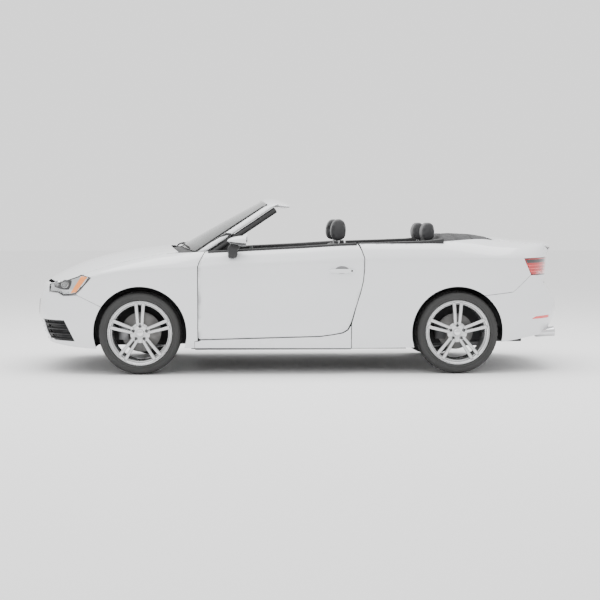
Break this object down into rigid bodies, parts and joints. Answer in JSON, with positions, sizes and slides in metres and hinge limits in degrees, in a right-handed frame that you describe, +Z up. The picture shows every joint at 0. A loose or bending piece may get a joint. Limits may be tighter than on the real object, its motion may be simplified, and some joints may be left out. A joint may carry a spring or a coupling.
{
  "type": "convertible car",
  "caption": "Two-door four-place convertible car with its fabric top folded, steered front wheels, opening doors, bonnet and boot lid",
  "frame": {"origin": "on the ground under the middle of the body", "axes": "+X to the rear, +Y to the car's right side, +Z up"},
  "size_m": [4.35, 2.0034, 1.414],
  "materials": {
    "paint": "gloss",
    "structure": "satin",
    "cast": "rough",
    "steel": "brushed",
    "trim": "matte",
    "lamp_clear": "clear",
    "lamp_red": "clear",
    "glass": "clear",
    "top_fabric": "woven",
    "soft_trim": "grained",
    "upholstery": "grained",
    "tyre": "matte",
    "alloy": "satin",
    "disc": "machined"
  },
  "bodies": {
    "body": {"underbody": "structure", "front_structure": "structure", "engine_block": "cast", "rear_axle": "cast", "fuel_tank": "trim", "exhaust": "steel", "arch_liners": "trim", "sills": "paint", "fender_left": "paint", "fender_right": "paint", "quarter_left": "paint", "quarter_right": "paint", "front_bumper": "paint", "front_grille": "trim", "headlamps": "lamp_clear", "rear_bumper": "paint", "tail_lamps": "lamp_red", "windscreen_frame": "paint", "windscreen": "glass", "cowl": "trim", "folded_top": "top_fabric", "dashboard": "soft_trim", "cabin_trim": "soft_trim", "chair_left": "upholstery", "chair_right": "upholstery", "rear_bench": "upholstery", "door_hinges": "steel"},
    "bonnet": {"bonnet": "paint"},
    "boot_lid": {"boot_lid": "paint"},
    "door_left": {"door_left": "paint", "mirror_left": "paint"},
    "door_right": {"door_right": "paint", "mirror_right": "paint"},
    "steering_wheel": {"steering_wheel": "soft_trim"},
    "knuckle_left": {"knuckle_left": "cast"},
    "knuckle_right": {"knuckle_right": "cast"},
    "wheel_front_left": {"tyre_front_left": "tyre", "rim_front_left": "alloy", "disc_front_left": "disc"},
    "wheel_front_right": {"tyre_front_right": "tyre", "rim_front_right": "alloy", "disc_front_right": "disc"},
    "wheel_rear_left": {"tyre_rear_left": "tyre", "rim_rear_left": "alloy", "disc_rear_left": "disc"},
    "wheel_rear_right": {"tyre_rear_right": "tyre", "rim_rear_right": "alloy", "disc_rear_right": "disc"}
  },
  "joints": [
    {"name": "bonnet_hinge", "type": "hinge", "parent": "body", "child": "bonnet", "pos_m": [-1, 0, 0.985], "axis": [0, 1, 0], "range_deg": [0, 55]},
    {"name": "boot_hinge", "type": "hinge", "parent": "body", "child": "boot_lid", "pos_m": [1.65, 0, 1.035], "axis": [0, -1, 0], "range_deg": [0, 75]},
    {"name": "door_left_hinge", "type": "hinge", "parent": "body", "child": "door_left", "pos_m": [-0.742, -0.879, 0.575], "axis": [0, 0, -1], "range_deg": [0, 65]},
    {"name": "door_right_hinge", "type": "hinge", "parent": "body", "child": "door_right", "pos_m": [-0.742, 0.879, 0.575], "axis": [0, 0, 1], "range_deg": [0, 65]},
    {"name": "steer_left", "type": "hinge", "parent": "body", "child": "knuckle_left", "pos_m": [-1.287, -0.68, 0.3315], "axis": [0, 0, 1], "range_deg": [-35, 35]},
    {"name": "steer_right", "type": "hinge", "parent": "body", "child": "knuckle_right", "pos_m": [-1.287, 0.68, 0.3315], "axis": [0, 0, 1], "range_deg": [-35, 35]},
    {"name": "steering_wheel_turn", "type": "hinge", "parent": "body", "child": "steering_wheel", "pos_m": [-0.33, -0.37, 0.85], "axis": [0.9063, 0, 0.4226], "range_deg": [-525, 525]},
    {"name": "spin_front_left", "type": "hinge", "parent": "knuckle_left", "child": "wheel_front_left", "pos_m": [-1.287, -0.772, 0.3315], "axis": [0, -1, 0], "continuous": true},
    {"name": "spin_front_right", "type": "hinge", "parent": "knuckle_right", "child": "wheel_front_right", "pos_m": [-1.287, 0.772, 0.3315], "axis": [0, -1, 0], "continuous": true},
    {"name": "spin_rear_left", "type": "hinge", "parent": "body", "child": "wheel_rear_left", "pos_m": [1.253, -0.772, 0.3315], "axis": [0, -1, 0], "continuous": true},
    {"name": "spin_rear_right", "type": "hinge", "parent": "body", "child": "wheel_rear_right", "pos_m": [1.253, 0.772, 0.3315], "axis": [0, -1, 0], "continuous": true}
  ],
  "couplings": [
    {"joint": "steer_right", "follows": "steer_left", "ratio": 1},
    {"joint": "steering_wheel_turn", "follows": "steer_left", "ratio": 15}
  ]
}
